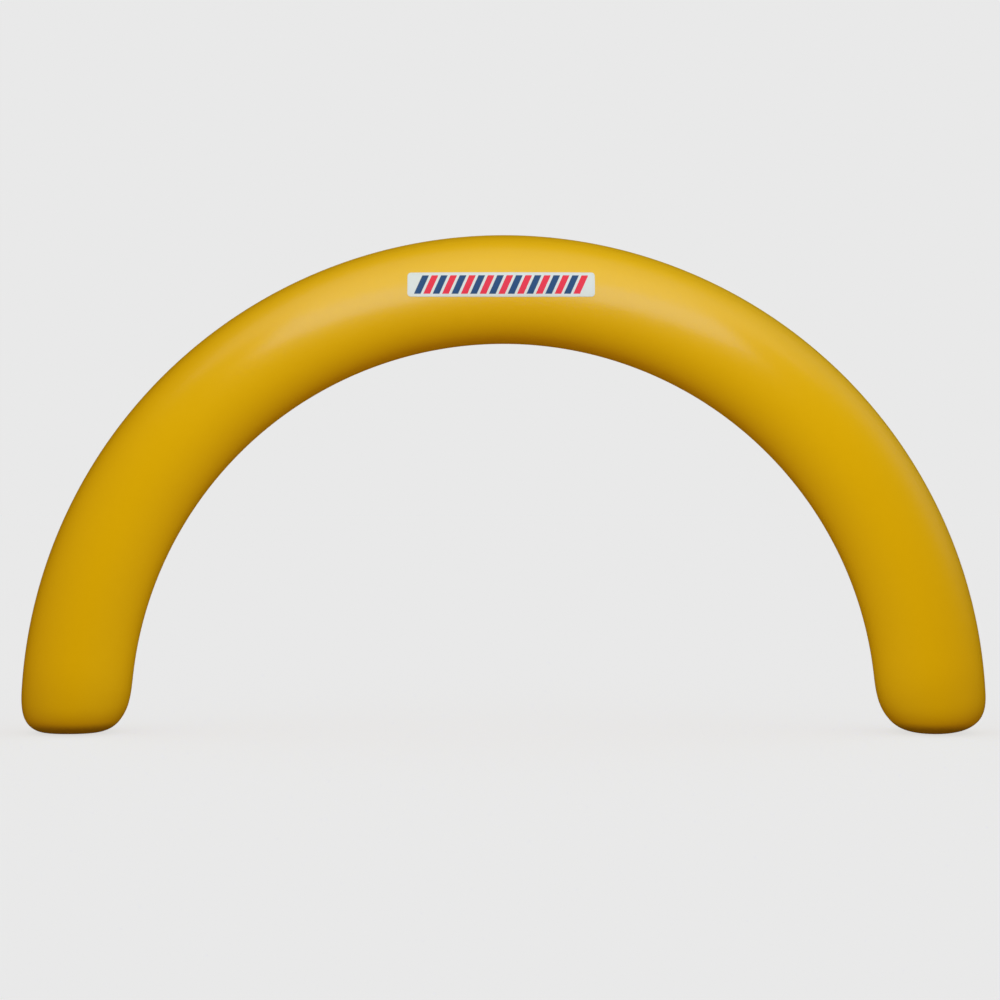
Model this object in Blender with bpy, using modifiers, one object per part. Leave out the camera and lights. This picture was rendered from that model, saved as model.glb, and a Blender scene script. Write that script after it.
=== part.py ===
"""Inflatable arch: a half ring of air-filled cloth tube with rounded feet, and a thin cloth panel on its front.

Metres, +Z up. The arch spans X, stands on z = 0 on the soles of its two feet, and its front faces -Y. The left
leg is the one at -X.
"""

from collections import namedtuple
from math import cos, hypot, pi, radians, sin, sqrt

import bmesh
import bpy
from mathutils import Matrix, Vector

# The tube
OVERALL_WIDTH = 6.10  # over the outsides of the two legs
TUBE_DIAMETER = 0.686
LEG_DROP = 0.096  # how far each leg runs straight down from the half circle to its sole

# How one side of a leg rounds in to the foot's lowest point: how far that lies in from the tube's side, how far
# above it the rounding starts, and its power, where 2 is an ellipse and more is squarer.
Rounding = namedtuple("Rounding", "reach height power")
FEET = {
    "left": {"outer": Rounding(0.225, 0.276, 3.0), "inner": Rounding(0.300, 0.420, 3.0)},
    "right": {"outer": Rounding(0.330, 0.250, 2.7), "inner": Rounding(0.330, 0.420, 2.75)},
}
FRONT_AND_BACK = Rounding(0.300, 0.200, 2.45)  # of both feet
PRESSED_FLAT = 0.004  # how much of the rounded foot's height the ground presses flat, which makes its sole

# The panel, as seen from the front
PANEL_WIDTH = 1.16
PANEL_HEIGHT = 0.152
PANEL_OFF_CENTRE = -0.015
PANEL_CORNER = 0.022
PANEL_THICKNESS = 0.0015
PANEL_GAP = 0.0008  # off the tube's true round; the tube's flat faces lie up to 0.7 mm inside that round

# Colours
YELLOW = (0.66, 0.37, 0.004)
WHITE = (0.8, 0.82, 0.82)

# Faces
AROUND = 48
RING_ROWS = 64
FOOT_ROWS = 10
PANEL_COLUMNS = 24
PANEL_ROWS = 8

# Worked out from the sizes above
TUBE_RADIUS = TUBE_DIAMETER / 2
RING_RADIUS = (OVERALL_WIDTH - TUBE_DIAMETER) / 2  # of the tube's middle line
RING_CENTRE = Vector((0, 0, LEG_DROP))
TUBE_LENGTH = 2 * LEG_DROP + pi * RING_RADIUS  # along the middle line, from sole to sole
FOOT_TOP = max(side.height for foot in FEET.values() for side in foot.values())


def empty_scene():
    for thing in list(bpy.data.objects):
        bpy.data.objects.remove(thing)


def material(name, colour, roughness):
    made = bpy.data.materials.new(name)
    made.use_nodes = True
    shader = made.node_tree.nodes["Principled BSDF"]
    shader.inputs["Base Color"].default_value = (*colour, 1)
    shader.inputs["Roughness"].default_value = roughness
    shader.inputs["Metallic"].default_value = 0
    made.diffuse_color = (*colour, 1)
    return made


def new_object(name, bm, finish, collection):
    """Makes the bmesh an object of that name, shaded smooth but for its hard edges."""
    mesh = bpy.data.meshes.new(name)
    bm.to_mesh(mesh)
    bm.free()
    mesh.shade_smooth()
    mesh.set_sharp_from_angle(angle=radians(40))
    mesh.materials.append(finish)
    made = bpy.data.objects.new(name, mesh)
    collection.objects.link(made)
    return made


def cut_rows(bm, axis, places):
    """Cuts a row of edges through the mesh at each place along an axis."""
    for place in places:
        everything = bm.verts[:] + bm.edges[:] + bm.faces[:]
        bmesh.ops.bisect_plane(bm, geom=everything, dist=1e-6, plane_co=axis * place, plane_no=axis)


def even_places(low, high, count):
    """The places between low and high that divide that stretch into equal parts."""
    return [low + (high - low) * step / count for step in range(1, count)]


def drawn_in(rounding, height):
    """How far a leg's side lies in from the full tube, at a height above the sole."""
    down = max(1 - (height + PRESSED_FLAT) / rounding.height, 0)
    return rounding.reach * (1 - (1 - down**rounding.power) ** (1 / rounding.power))


def middle_line(along):
    """The point of the tube's middle line at a distance from the left sole, and the way out of the ring there."""
    turn = min(max((along - LEG_DROP) / RING_RADIUS, 0), pi)
    outward = Vector((-cos(turn), 0, sin(turn)))
    below_ring = max(LEG_DROP - min(along, TUBE_LENGTH - along), 0)
    return RING_CENTRE + outward * RING_RADIUS - Vector((0, 0, below_ring)), outward


def in_the_arch(point):
    """Where a point of the straight tube goes. That tube lies along Z, its radius is 1 and -X is its outer side."""
    along = point.z
    foot = FEET["left" if along < TUBE_LENGTH / 2 else "right"]
    height = min(along, TUBE_LENGTH - along)
    outer = TUBE_RADIUS - drawn_in(foot["outer"], height)
    inner = TUBE_RADIUS - drawn_in(foot["inner"], height)
    front = TUBE_RADIUS - drawn_in(FRONT_AND_BACK, height)
    middle, outward = middle_line(along)
    out = (outer - inner) / 2 - point.x * (outer + inner) / 2
    return middle + outward * out + Vector((0, point.y * front, 0))


def row_places():
    """Where the straight tube is cut into rows: evenly, and closer together towards each sole."""
    foot = [FOOT_TOP * (1 - cos(pi / 2 * row / FOOT_ROWS)) for row in range(1, FOOT_ROWS + 1)]
    ring = even_places(FOOT_TOP, TUBE_LENGTH - FOOT_TOP, RING_ROWS)
    return foot + ring + [TUBE_LENGTH - place for place in foot]


def arch_tube(collection):
    """The air-filled tube: a straight closed one, cut into rows and bent to its place."""
    bm = bmesh.new()
    lift = Matrix.Translation((0, 0, TUBE_LENGTH / 2))
    bmesh.ops.create_cone(
        bm, cap_ends=True, segments=AROUND, radius1=1, radius2=1, depth=TUBE_LENGTH, matrix=lift
    )
    cut_rows(bm, Vector((0, 0, 1)), row_places())
    for vertex in bm.verts:
        vertex.co = in_the_arch(vertex.co)
    return new_object("arch_tube", bm, material("yellow_coated_cloth", YELLOW, 0.4), collection)


def tube_front(x, z, clear):
    """How far forward the tube's front lies at x, z, and a clearance off its surface, as a y value."""
    off_middle = hypot(x, z - LEG_DROP) - RING_RADIUS
    return -sqrt((TUBE_RADIUS + clear) ** 2 - off_middle**2)


def front_panel(collection):
    """The thin panel: a flat rectangle with rounded corners, laid on the tube's front at the crown."""
    middle = Vector((PANEL_OFF_CENTRE, 0, LEG_DROP + RING_RADIUS))
    half_width, half_height = PANEL_WIDTH / 2, PANEL_HEIGHT / 2
    bm = bmesh.new()
    upright = Matrix.Translation(middle) @ Matrix.Rotation(pi / 2, 4, "X")
    bmesh.ops.create_grid(
        bm, x_segments=1, y_segments=1, size=1,
        matrix=upright @ Matrix.Diagonal((half_width, half_height, 1, 1)),
    )
    bmesh.ops.bevel(
        bm, geom=bm.verts[:], offset=PANEL_CORNER, affect="VERTICES", segments=4, profile=0.5, material=-1
    )
    columns = even_places(middle.x - half_width, middle.x + half_width, PANEL_COLUMNS)
    rows = even_places(middle.z - half_height, middle.z + half_height, PANEL_ROWS)
    cut_rows(bm, Vector((1, 0, 0)), columns)
    cut_rows(bm, Vector((0, 0, 1)), rows)
    for vertex in bm.verts:
        vertex.co.y = tube_front(vertex.co.x, vertex.co.z, PANEL_GAP)
    panel = new_object("front_panel", bm, material("white_coated_cloth", WHITE, 0.45), collection)
    wall = panel.modifiers.new("thickness", "SOLIDIFY")
    wall.thickness = PANEL_THICKNESS
    wall.offset = 1  # outwards, off the tube
    return panel


def main():
    empty_scene()
    arch = bpy.data.collections.new("inflatable_arch")
    bpy.context.scene.collection.children.link(arch)
    tube = arch_tube(arch)
    panel = front_panel(arch)
    panel.parent = tube


main()
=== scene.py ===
"""The looks of the inflatable arch: coated cloth, a sewn panel on its crown, and a plain studio around it.

Metres, +Z up. The arch spans X and its front faces -Y. The left leg is the one at -X.
"""

from collections import namedtuple
from math import atan2, copysign, cos, hypot, pi, radians, sin, sqrt

import bmesh
import bpy
from mathutils import Matrix, Vector


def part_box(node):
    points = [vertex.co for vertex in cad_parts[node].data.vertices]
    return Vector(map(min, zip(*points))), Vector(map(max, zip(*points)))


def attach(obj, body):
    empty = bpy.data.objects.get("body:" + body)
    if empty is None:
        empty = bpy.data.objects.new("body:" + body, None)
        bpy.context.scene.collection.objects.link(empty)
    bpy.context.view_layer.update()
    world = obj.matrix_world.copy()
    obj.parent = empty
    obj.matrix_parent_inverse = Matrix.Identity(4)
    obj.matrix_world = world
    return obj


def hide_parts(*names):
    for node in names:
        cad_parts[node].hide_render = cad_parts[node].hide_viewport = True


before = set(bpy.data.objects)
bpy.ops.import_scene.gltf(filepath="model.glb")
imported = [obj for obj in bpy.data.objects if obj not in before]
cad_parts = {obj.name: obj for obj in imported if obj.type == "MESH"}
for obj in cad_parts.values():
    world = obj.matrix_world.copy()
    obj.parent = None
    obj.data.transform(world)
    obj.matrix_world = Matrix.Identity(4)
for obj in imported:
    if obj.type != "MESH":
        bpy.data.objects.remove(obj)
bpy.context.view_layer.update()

# ---------------------------------------------------------------- sizes

# The tube
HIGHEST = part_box("arch_tube")[1]
LEG_DROP = 0.096  # how far each leg runs straight down from the half circle to its sole
TUBE_RADIUS = HIGHEST.y
RING_RADIUS = HIGHEST.z - TUBE_RADIUS - LEG_DROP  # of the tube's middle line
RING_CENTRE = Vector((0, 0, LEG_DROP))
TUBE_LENGTH = 2 * LEG_DROP + pi * RING_RADIUS  # along the middle line, from sole to sole

# How one side of a leg rounds in to the foot's lowest point: how far that lies in from the tube's side, how
# far above it the rounding starts, and its power, where 2 is an ellipse and more is squarer.
Rounding = namedtuple("Rounding", "reach height power")
FEET = {
    "left": {"outer": Rounding(0.225, 0.276, 3.0), "inner": Rounding(0.300, 0.420, 3.0)},
    "right": {"outer": Rounding(0.330, 0.250, 2.7), "inner": Rounding(0.330, 0.420, 2.75)},
}
FRONT_AND_BACK = Rounding(0.300, 0.200, 2.45)  # of both feet
PRESSED_FLAT = 0.004  # how much of the rounded foot's height the ground presses flat, which makes its sole
FOOT_TOP = max(side.height for foot in FEET.values() for side in foot.values())

# The tube's faces
AROUND = 128
RING_ROWS = 220
FOOT_ROWS = 28
SHARP_ANGLE = radians(50)  # an edge that turns more than this isn't shaded smooth
SAME_PLACE = 1e-6  # a point this close to a cut lies on it

# The front and back cloths of the tube overlap along its outermost and innermost lines.
SEAM_WIDTH = 0.022
SEAM_SLOPE = 0.003
SEAM_HEIGHT = 0.0007
SEAM_STITCH_IN = 0.005  # from the overlap's edge
SEAM_STITCH_PITCH = 0.006
SEAM_STITCH_SIDE = (0.0003, 0.0009)  # how far to the side of its middle it starts to round off, and ends
SEAM_STITCH_END = (0.0016, 0.0024)  # the same lengthways
SEAM_STITCH_HEIGHT = 0.0003

# The panel, as seen from the front
PANEL_LOWEST, PANEL_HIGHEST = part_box("front_panel")
PANEL_WIDTH = 1.16
PANEL_HEIGHT = 0.152
PANEL_MIDDLE = Vector(((PANEL_LOWEST.x + PANEL_HIGHEST.x) / 2, 0, LEG_DROP + RING_RADIUS))
PANEL_CORNER = 0.022
PANEL_CORNER_FACES = 6
PANEL_THICKNESS = 0.0011
PANEL_EDGE = 0.0004  # how much its edges are rounded
PANEL_EDGE_FACES = 2
PANEL_GAP = 0.0008  # off the tube
PANEL_COLUMNS = 80
PANEL_ROWS = 16
HEM_WIDTH = 0.011
HEM_SLOPE = 0.0015
HEM_HEIGHT = 0.0004  # how far the doubled cloth of the hem stands above the rest

# The bars printed on the panel, blue and red in turn
BARS = 18
BAR_PITCH = 0.058
BAR_WIDTH = 0.040
BAR_SLANT = 0.45  # how far a bar leans sideways for each metre up
BAR_EDGE = 0.0012  # how soft its edge is
PRINT_IN = 0.019  # from the panel's upper and lower edges

# The thread that holds the panel
STITCH_LENGTH = 0.0062
STITCH_PITCH = 0.0085
STITCH_THICKNESS = 0.0011
STITCH_IN = 0.006  # from the panel's edge
STITCH_OFF = STITCH_THICKNESS / 6  # how far its middle is off the cloth, which its lower side sinks into
STITCH_CORNER_STEPS = 4  # straight steps that the row takes round a corner
STITCH_AROUND = 8  # faces round a stitch, and along it
STITCH_ALONG = 6
TWIST_PITCH = 0.0012
TWIST_HEIGHT = 0.00005

# The cloths' weave
THREAD_WIDTH = 0.0011
TUBE_WEAVE_HEIGHT = 0.00002
PANEL_WEAVE_HEIGHT = 0.00003
CLOTH_MAP = "cloth"  # the UV map that follows the tube, in metres: round it, and along it from the left sole
SOLE_ASIDE = 2  # tube radii that the soles are moved on that map, clear of the seams' lines

# The tube's clouding: large clouds, over which the cloth swells by the cloud height, and speckles
CLOUD_SIZE = 0.55
CLOUD_HEIGHT = 0.0006
CLOUD_SHARE = 0.6  # and the rest is the speckles'
SPECKLE_SIZE = 0.05

# The painted shade that darkens the lower legs, and the deeper painted shade under the feet: the heights
# between which each fades out upwards, the size of its patches, and the range of their strength
LEG_SHADE_FADE = (0.1, 0.5)
LEG_SHADE_PATCH = 0.2
LEG_SHADE_RANGE = 0.6
FOOT_SHADE_FADE = (0.025, 0.085)
FOOT_SHADE_PATCH = 0.03
FOOT_SHADE_RANGE = 0.5
FOOT_SHADE_DETAIL = 4.0

MOTTLE_SIZE = 0.03  # on the panel

# ---------------------------------------------------------------- colours

YELLOW = (0.68, 0.385, 0.001)
# painted shade: the darker colour that the lower legs fade to near the ground
PAINTED_LEG_SHADE = (0.40, 0.205, 0.002)
# painted shade: the dark colour under the feet
PAINTED_FOOT_SHADE = (0.15, 0.072, 0.004)
WHITE = (0.60, 0.62, 0.70)
BLUE = (0.012, 0.045, 0.11)
RED = (0.68, 0.016, 0.028)
THREAD = (0.72, 0.74, 0.73)

# How light each mark is, as a share of the cloth's or the thread's own colour
DARK_CLOUD = 0.97
PALE_CLOUD = 1.03
WEAVE_GAP = 0.5
SEAM_SHADE = 0.8
SEAM_STITCH_SHADE = 0.75
TWIST_GAP = 0.7

# How much of its colour each mark lays over the cloth
TUBE_WEAVE_SHOWS = 0.05
PANEL_WEAVE_SHOWS = 0.06
SEAM_SHOWS = 0.08
SEAM_STITCH_SHOWS = 0.6
# painted shade on the lower legs
LEG_SHADE_SHOWS = 0.30
# painted shade under the feet
FOOT_SHADE_SHOWS = 0.66

# Roughness, how much each mark adds to it, and gloss
TUBE_ROUGHNESS = 0.34
SPECKLES_ROUGHER = 0.05
SEAM_ROUGHER = 0.04
# how much rougher the cloth is where the shade under the feet is painted
FOOT_SHADE_ROUGHER = 0.15
PANEL_ROUGHNESS = 0.5
MOTTLE_ROUGHER = 0.06
THREAD_ROUGHNESS = 0.6
GLOSS = 0.35  # of the tube's cloth and the thread
PANEL_GLOSS = 0.15

# ---------------------------------------------------------------- sizes and colours of the studio

PALE = 0.8148  # its grey
SOFT_LIGHT = (0.37, 0.15, 0.03)  # from in front, behind, above and below
SOFT_SIDE_LIGHT = (0.77, 0.70, 0.13)  # from the left and the right
KEY_LIGHT = (38.5, 48.0, 50)  # from high in front
SIDE_LIGHT = (0.64, 1.20, 1.3)  # from the right
LOW_SKY = (0.10, 0.32, 1.0)  # the lowest piece of the screen below
SKY = (0.3, 0.56, 1.0)  # all other light that shows in the gloss

KEY_PLACE = Vector((0, -9, 6))
KEY_AIM = Vector((0, 0, 1.5))
KEY_SIZE = (2.2, 2.2)
SIDE_PLACE = Vector((4.89, 0.845, 4.214))
SIDE_AIM = Vector((4.12, 0.55, 3.655))
SIDE_SIZE = (3.1, 5.3)
SIDE_GLOSS = 1.25  # how bright the side light is in the cloth's gloss

# The screen that shows in the cloth's gloss stands over the arch's front and leans a little over it. Each of
# its pieces has a name, a place across and up the screen, a size, a colour and a brightness.
SCREEN_MIDDLE = Vector((0, -0.667, 5.089))
SCREEN_FACING = Vector((0, 0.985, -0.171))
SCREEN_UP = Vector((0, 0.171, 0.985))
ScreenPiece = namedtuple("ScreenPiece", "name across up size colour brightness")
SCREEN_PIECES = [
    ScreenPiece("low gloss", 0, -2.3, (3.4, 0.6), LOW_SKY, 8.0),
    ScreenPiece("middle gloss", 0, -1.55, (3.4, 0.9), SKY, 3.4),
    ScreenPiece("high gloss", 0, 0.775, (3.4, 3.75), SKY, 1.7),
    ScreenPiece("left gloss", -2.45, 0.325, (1.5, 4.65), SKY, 1.8),
    ScreenPiece("right gloss", 2.45, 0.325, (1.5, 4.65), SKY, 1.8),
]

FLOOR_REACH = 300
FLOOR_SHADE = 0.15  # how much darker the floor gets where none of the soft light reaches it

CAMERA_PLACE = (-0.022, -14.593, 1.440)
CAMERA_TILT = 0.00207  # upwards, in radians
LENS = 82.93  # in millimetres, as is the sensor
SENSOR_WIDTH = 36
FARTHEST_SEEN = 1000

# ---------------------------------------------------------------- shader sums


class Term:
    """An output of a node, or just a node tree. Arithmetic on it adds Math nodes to the tree."""

    def __init__(self, tree, socket=None):
        self.tree = tree
        self.socket = socket

    def node(self, kind, settings=None, inputs=None, output=0):
        """Adds a node: its settings are made first, then its sockets get values or links."""
        made = self.tree.nodes.new("ShaderNode" + kind)
        for name, value in (settings or {}).items():
            setattr(made, name, value)
        for place, value in (inputs or {}).items():
            if isinstance(value, Term):
                self.tree.links.new(value.socket, made.inputs[place])
            else:
                made.inputs[place].default_value = value
        return Term(self.tree, made.outputs[output] if made.outputs else None)

    def maths(self, operation, *values):
        return self.node("Math", {"operation": operation}, dict(enumerate(values)))

    def __add__(self, other):
        return self.maths("ADD", self, other)

    def __radd__(self, other):
        return self.maths("ADD", other, self)

    def __sub__(self, other):
        return self.maths("SUBTRACT", self, other)

    def __rsub__(self, other):
        return self.maths("SUBTRACT", other, self)

    def __mul__(self, other):
        return self.maths("MULTIPLY", self, other)

    def __rmul__(self, other):
        return self.maths("MULTIPLY", other, self)

    def __mod__(self, step):
        return self.maths("FLOORED_MODULO", self, step)

    def __abs__(self):
        return self.maths("ABSOLUTE", self)

    def sine(self):
        return self.maths("SINE", self)

    def least(self, other):
        return self.maths("MINIMUM", self, other)

    def rising(self, start, end):
        """0 at start, 1 at end, and smooth between them."""
        return self.node(
            "MapRange", {"interpolation_type": "SMOOTHSTEP"}, {0: self, 1: start, 2: end, 3: 0.0, 4: 1.0}
        )

    def falling(self, start, end):
        """1 at start, 0 at end, and smooth between them."""
        return 1 - self.rising(start, end)

    def part(self, axis):
        """One of the three numbers of a vector."""
        return self.node("SeparateXYZ", {}, {0: self}, "XYZ".index(axis))

    def noise(self, size, detail=2.0):
        """Smooth noise, about 0.5, where this is a place and the lumps are of that size in metres."""
        return self.node("TexNoise", {}, {"Vector": self, "Scale": 1 / size, "Detail": detail})

    def mixed(self, plain, other):
        """The plain colour where this is 0, and the other one where it is 1."""
        return self.node("Mix", {"data_type": "RGBA"}, {0: self, 6: colour(plain), 7: colour(other)}, 2)


def colour(value):
    """A colour as a socket takes it, where it doesn't come from a node."""
    return value if isinstance(value, Term) else (*value, 1)


def shaded(rgb, share):
    """A colour, made darker or lighter by a share."""
    return tuple(channel * share for channel in rgb)


def new_material(name, flat_colour):
    """A material with no nodes yet, and its tree as a Term."""
    made = bpy.data.materials.new(name)
    made.use_nodes = True
    made.node_tree.nodes.clear()
    made.diffuse_color = (*flat_colour, 1)
    return made, Term(made.node_tree)


def cloth_surface(tree, base_colour, roughness, height, gloss=GLOSS):
    """Puts the shader of a coated cloth, or of thread, on the material. The height is in metres."""
    bump = tree.node("Bump", {}, {"Strength": 1.0, "Distance": 1.0, "Height": height})
    shader = tree.node(
        "BsdfPrincipled", {},
        {
            "Base Color": base_colour,
            "Roughness": roughness,
            "Specular IOR Level": gloss,
            "Normal": bump,
        },
    )
    tree.node("OutputMaterial", {}, {"Surface": shader})


# ---------------------------------------------------------------- cloths


def plain_weave(u, v):
    """From 0 in the gaps of a plain weave to 1 on the crossings."""
    turns = pi / THREAD_WIDTH
    return abs((u * turns).sine() * (v * turns).sine())


def uneven(noise, whole_range):
    """A strength about 1 that the noise varies by half the range either way."""
    return (1 - whole_range / 2) + whole_range * noise


def tube_cloth():
    """Yellow coated cloth: a faint weave, two overlapped and stitched seams, and painted shade that darkens
    the lower legs and the feet's undersides.
    """
    made, tree = new_material("yellow_coated_cloth", YELLOW)
    cloth = tree.node("UVMap", {"uv_map": CLOTH_MAP})
    place = tree.node("TexCoord", {}, {}, "Object")
    around, along = cloth.part("X"), cloth.part("Y")
    weave = plain_weave(around, along)
    off_seam = abs(around).least(pi * TUBE_RADIUS - abs(around))
    on_seam = off_seam.falling(SEAM_WIDTH / 2, SEAM_WIDTH / 2 + SEAM_SLOPE)
    off_row = abs(off_seam - (SEAM_WIDTH / 2 - SEAM_STITCH_IN))
    in_stitch = abs(along % SEAM_STITCH_PITCH - SEAM_STITCH_PITCH / 2)
    stitch = off_row.falling(*SEAM_STITCH_SIDE) * in_stitch.falling(*SEAM_STITCH_END)
    cloudy = place.noise(CLOUD_SIZE)
    fine = place.noise(SPECKLE_SIZE)
    # painted shade over the lower legs, darker towards the ground
    leg_shade = place.part("Z").falling(*LEG_SHADE_FADE) * uneven(place.noise(LEG_SHADE_PATCH), LEG_SHADE_RANGE)
    # painted shade in the lowest few centimetres, under the feet
    foot_shade = place.part("Z").falling(*FOOT_SHADE_FADE) * uneven(place.noise(FOOT_SHADE_PATCH, FOOT_SHADE_DETAIL), FOOT_SHADE_RANGE)
    clouds = cloudy * CLOUD_SHARE + fine * (1 - CLOUD_SHARE)
    base = clouds.mixed(shaded(YELLOW, DARK_CLOUD), shaded(YELLOW, PALE_CLOUD))
    base = (TUBE_WEAVE_SHOWS * (1 - weave)).mixed(base, shaded(YELLOW, WEAVE_GAP))
    base = (SEAM_SHOWS * on_seam).mixed(base, shaded(YELLOW, SEAM_SHADE))
    base = (SEAM_STITCH_SHOWS * stitch).mixed(base, shaded(YELLOW, SEAM_STITCH_SHADE))
    # lays the painted shade over the lower legs
    base = (LEG_SHADE_SHOWS * leg_shade).mixed(base, PAINTED_LEG_SHADE)
    # lays the painted shade under the feet
    base = (FOOT_SHADE_SHOWS * foot_shade).mixed(base, PAINTED_FOOT_SHADE)
    rougher = SPECKLES_ROUGHER * (fine - 0.5) + SEAM_ROUGHER * on_seam + FOOT_SHADE_ROUGHER * foot_shade
    height = TUBE_WEAVE_HEIGHT * weave + SEAM_STITCH_HEIGHT * stitch + CLOUD_HEIGHT * cloudy
    cloth_surface(tree, base, TUBE_ROUGHNESS + rougher, height)
    return made


def panel_cloth():
    """White coated cloth with slanting bars, blue and red in turn, printed inside its hem."""
    made, tree = new_material("printed_coated_cloth", WHITE)
    place = tree.node("TexCoord", {}, {}, "Object")
    x, z = place.part("X") - PANEL_MIDDLE.x, place.part("Z") - PANEL_MIDDLE.z
    weave = plain_weave(x, z)
    across = x - BAR_SLANT * z
    print_top = PANEL_HEIGHT / 2 - PRINT_IN
    print_end = BARS / 2 * BAR_PITCH
    inside_hem = abs(z).falling(print_top, print_top + BAR_EDGE)
    printed = inside_hem * abs(across).falling(print_end, print_end + BAR_EDGE)
    off_bar = abs((across + print_end) % BAR_PITCH - BAR_PITCH / 2)
    bar = printed * off_bar.falling(BAR_WIDTH / 2, BAR_WIDTH / 2 + BAR_EDGE)
    red = ((across + print_end) % (2 * BAR_PITCH)).rising(BAR_PITCH - BAR_EDGE, BAR_PITCH + BAR_EDGE)
    mottle = place.noise(MOTTLE_SIZE)
    ink = red.mixed(BLUE, RED)
    base = mottle.mixed(shaded(WHITE, DARK_CLOUD), WHITE)
    base = bar.mixed(base, ink)
    base = (PANEL_WEAVE_SHOWS * (1 - weave)).mixed(base, shaded(WHITE, WEAVE_GAP))
    roughness = PANEL_ROUGHNESS + MOTTLE_ROUGHER * mottle
    cloth_surface(tree, base, roughness, PANEL_WEAVE_HEIGHT * weave, gloss=PANEL_GLOSS)
    return made


def thread_finish():
    """Pale twisted thread."""
    made, tree = new_material("pale_thread", THREAD)
    place = tree.node("TexCoord", {}, {}, "Object")
    twist = abs(((place.part("X") + place.part("Z")) * (pi / TWIST_PITCH)).sine())
    base = twist.mixed(shaded(THREAD, TWIST_GAP), THREAD)
    cloth_surface(tree, base, THREAD_ROUGHNESS, TWIST_HEIGHT * twist)
    return made


# ---------------------------------------------------------------- shapes


def cut_rows(bm, axis, places):
    """Cuts a row of edges through the mesh at each place along an axis, from the lowest place up."""
    rest = bm.verts[:] + bm.edges[:] + bm.faces[:]
    for place in sorted(places):
        cut = bmesh.ops.bisect_plane(bm, geom=rest, dist=SAME_PLACE, plane_co=axis * place, plane_no=axis)
        above = place - SAME_PLACE
        rest = [part for part in cut["geom"] if all(point.co.dot(axis) > above for point in ends(part))]


def ends(part):
    """The vertices of a face or an edge, or a vertex itself."""
    return [part] if isinstance(part, bmesh.types.BMVert) else part.verts


def even_places(low, high, count):
    """The places between low and high that divide that stretch into equal parts."""
    return [low + (high - low) * step / count for step in range(1, count)]


def new_piece(name, bm, finish):
    """Makes the bmesh a piece of the object that rides on its only body."""
    mesh = bpy.data.meshes.new(name)
    bm.to_mesh(mesh)
    bm.free()
    mesh.shade_smooth()
    mesh.set_sharp_from_angle(angle=SHARP_ANGLE)
    mesh.materials.append(finish)
    made = bpy.data.objects.new(name, mesh)
    bpy.context.scene.collection.objects.link(made)
    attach(made, "root")
    return made


def drawn_in(rounding, height):
    """How far a leg's side lies in from the full tube, at a height above the sole."""
    down = max(1 - (height + PRESSED_FLAT) / rounding.height, 0)
    return rounding.reach * (1 - (1 - down**rounding.power) ** (1 / rounding.power))


def middle_line(along):
    """The point of the middle line at a distance from the left sole, and the way out of the ring there."""
    turn = min(max((along - LEG_DROP) / RING_RADIUS, 0), pi)
    outward = Vector((-cos(turn), 0, sin(turn)))
    below_ring = max(LEG_DROP - min(along, TUBE_LENGTH - along), 0)
    return RING_CENTRE + outward * RING_RADIUS - Vector((0, 0, below_ring)), outward


def in_the_arch(point):
    """Where a point of the straight tube goes. It lies along Z, its radius is 1, and -X is its outer side."""
    along = point.z
    foot = FEET["left" if along < TUBE_LENGTH / 2 else "right"]
    height = min(along, TUBE_LENGTH - along)
    seam = SEAM_HEIGHT if abs(point.y) < (SEAM_WIDTH / 2 + SEAM_SLOPE / 2) / TUBE_RADIUS else 0
    outer = TUBE_RADIUS + seam - drawn_in(foot["outer"], height)
    inner = TUBE_RADIUS + seam - drawn_in(foot["inner"], height)
    front = TUBE_RADIUS - drawn_in(FRONT_AND_BACK, height)
    middle, outward = middle_line(along)
    out = (outer - inner) / 2 - point.x * (outer + inner) / 2
    return middle + outward * out + Vector((0, point.y * front, 0))


def row_places():
    """Where the straight tube is cut into rows: evenly, and closer together towards each sole."""
    foot = [FOOT_TOP * (1 - cos(pi / 2 * row / FOOT_ROWS)) for row in range(1, FOOT_ROWS + 1)]
    ring = even_places(FOOT_TOP, TUBE_LENGTH - FOOT_TOP, RING_ROWS)
    return foot + ring + [TUBE_LENGTH - place for place in foot]


def spread_cloth(bm):
    """Gives the straight tube its UV map: metres round it from the outermost line, and metres along it."""
    layer = bm.loops.layers.uv.new(CLOTH_MAP)
    for face in bm.faces:
        middle = face.calc_center_median()
        sole = abs(face.normal.z) > 0.5
        face_turn = atan2(middle.y, -middle.x)
        for loop in face.loops:
            point = loop.vert.co
            turn = atan2(point.y, -point.x)
            if abs(turn - face_turn) > pi:
                turn += copysign(2 * pi, face_turn)
            place = (point.x + SOLE_ASIDE, point.y) if sole else (turn, point.z / TUBE_RADIUS)
            loop[layer].uv = (place[0] * TUBE_RADIUS, place[1] * TUBE_RADIUS)


def arch_tube(finish):
    """The air-filled tube: a straight closed one, cut into rows and bent to its place."""
    bm = bmesh.new()
    lift = Matrix.Translation((0, 0, TUBE_LENGTH / 2))
    bmesh.ops.create_cone(
        bm, cap_ends=True, segments=AROUND, radius1=1, radius2=1, depth=TUBE_LENGTH, matrix=lift
    )
    cut_rows(bm, Vector((0, 0, 1)), row_places())
    seam_lines = [SEAM_WIDTH / 2 / TUBE_RADIUS, (SEAM_WIDTH / 2 + SEAM_SLOPE) / TUBE_RADIUS]
    cut_rows(bm, Vector((0, 1, 0)), [-line for line in seam_lines] + seam_lines)
    spread_cloth(bm)
    for vertex in bm.verts:
        vertex.co = in_the_arch(vertex.co)
    tube = new_piece("arch_cloth_tube", bm, finish)
    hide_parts("arch_tube")
    return tube


def tube_front(x, z, clear):
    """How far forward the tube's front lies at x, z, and a clearance off its surface, as a y value."""
    off_middle = hypot(x, z - LEG_DROP) - RING_RADIUS
    return -sqrt((TUBE_RADIUS + clear) ** 2 - off_middle**2)


def on_the_panel(point, clear):
    """The point moved to the tube's front, at a clearance off it."""
    return Vector((point.x, tube_front(point.x, point.z, clear), point.z))


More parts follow.
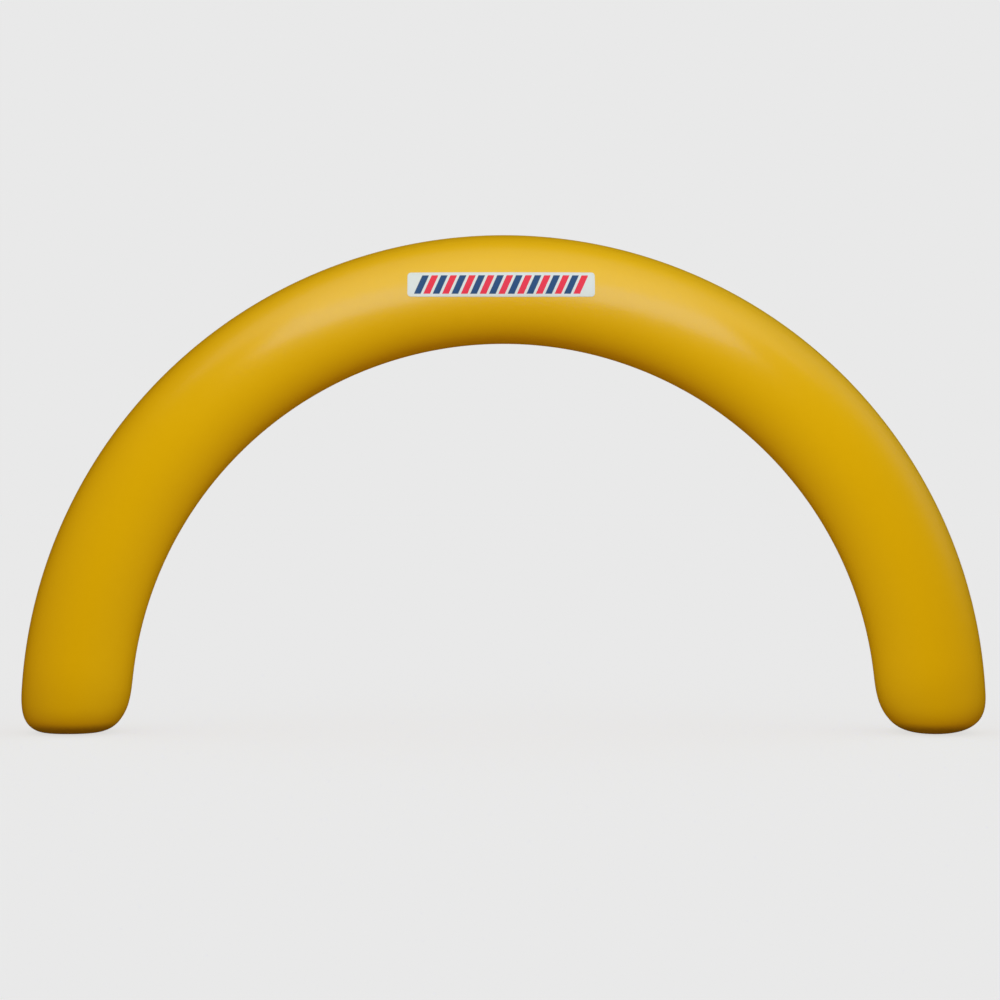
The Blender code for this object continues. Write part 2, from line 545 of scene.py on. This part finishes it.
def sewn_panel(finish):
    """The cloth panel: a flat rectangle with rounded corners and a doubled hem, laid on the tube's front."""
    half_width, half_height = PANEL_WIDTH / 2, PANEL_HEIGHT / 2
    bm = bmesh.new()
    upright = Matrix.Translation(PANEL_MIDDLE) @ Matrix.Rotation(pi / 2, 4, "X")
    bmesh.ops.create_grid(
        bm, x_segments=1, y_segments=1, size=1,
        matrix=upright @ Matrix.Diagonal((half_width, half_height, 1, 1)),
    )
    bmesh.ops.bevel(
        bm, geom=bm.verts[:], offset=PANEL_CORNER, affect="VERTICES", segments=PANEL_CORNER_FACES,
        profile=0.5, material=-1,
    )
    inside_hem = bm.faces[:]
    bmesh.ops.inset_region(bm, faces=inside_hem, thickness=HEM_WIDTH, use_even_offset=True)
    bmesh.ops.inset_region(bm, faces=inside_hem, thickness=HEM_SLOPE, use_even_offset=True)
    columns = even_places(PANEL_MIDDLE.x - half_width, PANEL_MIDDLE.x + half_width, PANEL_COLUMNS)
    rows = even_places(PANEL_MIDDLE.z - half_height, PANEL_MIDDLE.z + half_height, PANEL_ROWS)
    cut_rows(bm, Vector((1, 0, 0)), columns)
    cut_rows(bm, Vector((0, 0, 1)), rows)
    for vertex in bm.verts:
        in_from_edge = min(
            half_width - abs(vertex.co.x - PANEL_MIDDLE.x), half_height - abs(vertex.co.z - PANEL_MIDDLE.z)
        )
        hem = HEM_HEIGHT if in_from_edge < HEM_WIDTH + HEM_SLOPE / 2 else 0
        vertex.co = on_the_panel(vertex.co, PANEL_GAP + hem)
    panel = new_piece("crown_panel", bm, finish)
    wall = panel.modifiers.new("thickness", "SOLIDIFY")
    wall.thickness = PANEL_THICKNESS
    wall.offset = 1  # outwards, off the tube
    edge = panel.modifiers.new("soft edge", "BEVEL")
    edge.width = PANEL_EDGE
    edge.segments = PANEL_EDGE_FACES
    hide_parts("front_panel")
    return panel


def round_the_panel(inset):
    """The corners, in order, of a line that runs round inside the panel's edge."""
    corner = PANEL_CORNER - inset
    across, up = PANEL_WIDTH / 2 - PANEL_CORNER, PANEL_HEIGHT / 2 - PANEL_CORNER
    line = []
    for quarter, (side, end) in enumerate(((1, 1), (-1, 1), (-1, -1), (1, -1))):
        for step in range(STITCH_CORNER_STEPS + 1):
            turn = (quarter + step / STITCH_CORNER_STEPS) * pi / 2
            line.append(
                PANEL_MIDDLE + Vector((side * across + corner * cos(turn), 0, end * up + corner * sin(turn)))
            )
    return line


def evenly_along(line, pitch, length):
    """Pairs of points on a closed line: one pair for each stitch of that length."""
    following = line[1:] + line[:1]
    total = sum((end - start).length for start, end in zip(line, following))
    count = round(total / pitch)

    def place(distance):
        for start, end in zip(line, following):
            step = (end - start).length
            if distance <= step:
                return start.lerp(end, distance / step)
            distance -= step
        return line[0]

    return [(place(n * total / count), place((n * total / count + length) % total)) for n in range(count)]


def one_stitch():
    """A mesh of one stitch, a round-ended bead of radius 1 along Z."""
    bm = bmesh.new()
    bmesh.ops.create_uvsphere(bm, u_segments=STITCH_AROUND, v_segments=STITCH_ALONG, radius=1)
    mesh = bpy.data.meshes.new("stitch")
    bm.to_mesh(mesh)
    bm.free()
    return mesh


def panel_stitches(finish):
    """The thread's stitches round the panel's hem, as one mesh."""
    stitch = one_stitch()
    bm = bmesh.new()
    clear = PANEL_GAP + HEM_HEIGHT + PANEL_THICKNESS + STITCH_OFF
    for start, end in evenly_along(round_the_panel(STITCH_IN), STITCH_PITCH, STITCH_LENGTH):
        start, end = on_the_panel(start, clear), on_the_panel(end, clear)
        turned = (end - start).to_track_quat("Z", "Y").to_matrix().to_4x4()
        size = Matrix.Diagonal((STITCH_THICKNESS / 2, STITCH_THICKNESS / 2, (end - start).length / 2, 1))
        placed = stitch.copy()
        placed.transform(Matrix.Translation((start + end) / 2) @ turned @ size)
        bm.from_mesh(placed)
        bpy.data.meshes.remove(placed)
    bpy.data.meshes.remove(stitch)
    return new_piece("panel_stitches", bm, finish)


# ---------------------------------------------------------------- studio


def area_light(name, place, aim, size, radiance, shows):
    """A rectangular light that only lights surfaces, or only shows in their gloss."""
    lamp = bpy.data.lights.new(name, "AREA")
    lamp.shape = "RECTANGLE"
    lamp.size, lamp.size_y = size
    brightest = max(radiance)
    lamp.color = shaded(radiance, 1 / brightest)
    lamp.energy = brightest * pi * size[0] * size[1]
    made = bpy.data.objects.new(name, lamp)
    made.location = place
    made.rotation_euler = (aim - place).to_track_quat("-Z", "Y").to_euler()
    made.visible_camera = False
    made.visible_diffuse = shows == "light"
    made.visible_glossy = shows == "gloss"
    bpy.context.scene.collection.objects.link(made)
    return made


def gloss_lights():
    """The lights that give the cloth its broad gloss and nothing else."""
    area_light("side gloss", SIDE_PLACE, SIDE_AIM, SIDE_SIZE, shaded(SKY, SIDE_GLOSS), "gloss")
    for piece in SCREEN_PIECES:
        place = SCREEN_MIDDLE + SCREEN_UP * piece.up + Vector((piece.across, 0, 0))
        radiance = shaded(piece.colour, piece.brightness)
        area_light(piece.name, place, place + SCREEN_FACING, piece.size, radiance, "gloss")


def studio_lights():
    """A key light high in front of the arch and a soft one on the right."""
    return [
        area_light("key", KEY_PLACE, KEY_AIM, KEY_SIZE, KEY_LIGHT, "light"),
        area_light("side", SIDE_PLACE, SIDE_AIM, SIDE_SIZE, SIDE_LIGHT, "light"),
    ]


def studio_world():
    """A plain pale background, and soft warm light from all round that doesn't show in the gloss."""
    world = bpy.data.worlds.new("studio")
    world.use_nodes = True
    world.node_tree.nodes.clear()
    tree = Term(world.node_tree)
    seen = tree.node("LightPath", {}, {}, "Is Camera Ray")
    sideways = abs(tree.node("TexCoord", {}, {}, "Generated").part("X"))
    lit = tree.node("Background", {}, {"Color": sideways.mixed(SOFT_LIGHT, SOFT_SIDE_LIGHT), "Strength": 1.0})
    flat = tree.node("Background", {}, {"Color": (PALE, PALE, PALE, 1), "Strength": 1.0})
    both = tree.node("MixShader", {}, {0: seen, 1: lit, 2: flat})
    tree.node("OutputWorld", {}, {"Surface": both})
    world.cycles_visibility.glossy = False
    bpy.context.scene.world = world


def studio_floor():
    """A plain pale floor. Most of its brightness is its own, so the arch throws only a faint shade on it."""
    bm = bmesh.new()
    bmesh.ops.create_grid(bm, x_segments=1, y_segments=1, size=FLOOR_REACH)
    mesh = bpy.data.meshes.new("floor")
    bm.to_mesh(mesh)
    bm.free()
    made = bpy.data.objects.new("floor", mesh)
    bpy.context.scene.collection.objects.link(made)
    material, tree = new_material("pale_floor", (PALE, PALE, PALE))
    own = PALE - FLOOR_SHADE
    share = 4 / (3 * pi)  # of the side light in what falls on level ground
    falling = [front * (1 - share) + side * share for front, side in zip(SOFT_LIGHT, SOFT_SIDE_LIGHT)]
    reflecting = [FLOOR_SHADE / light for light in falling]
    glow = tree.node("Emission", {}, {"Color": (own, own, own, 1), "Strength": 1.0})
    matt = tree.node("BsdfDiffuse", {}, {"Color": (*reflecting, 1)})
    tree.node("OutputMaterial", {}, {"Surface": tree.node("AddShader", {}, {0: glow, 1: matt})})
    material.cycles.emission_sampling = "NONE"
    mesh.materials.append(material)
    made.visible_diffuse = False
    made.visible_glossy = False
    return made


def keep_off(lights, thing):
    """Makes the lights leave one object unlit."""
    unlit = bpy.data.collections.new("unlit")
    unlit.objects.link(thing)
    for light in lights:
        light.light_linking.receiver_collection = unlit
    unlit.collection_objects[0].light_linking.link_state = "EXCLUDE"


def camera():
    """The camera, in front of the arch and level but for a slight tilt."""
    data = bpy.data.cameras.new("camera")
    data.lens = LENS
    data.sensor_width = SENSOR_WIDTH
    data.clip_end = FARTHEST_SEEN
    made = bpy.data.objects.new("camera", data)
    made.location = CAMERA_PLACE
    made.rotation_euler = (pi / 2 + CAMERA_TILT, 0, 0)
    bpy.context.scene.collection.objects.link(made)
    bpy.context.scene.camera = made


bpy.context.scene.view_settings.view_transform = "Standard"
camera()
studio_world()
keep_off(studio_lights(), studio_floor())
gloss_lights()
tube = arch_tube(tube_cloth())
panel = sewn_panel(panel_cloth())
stitches = panel_stitches(thread_finish())
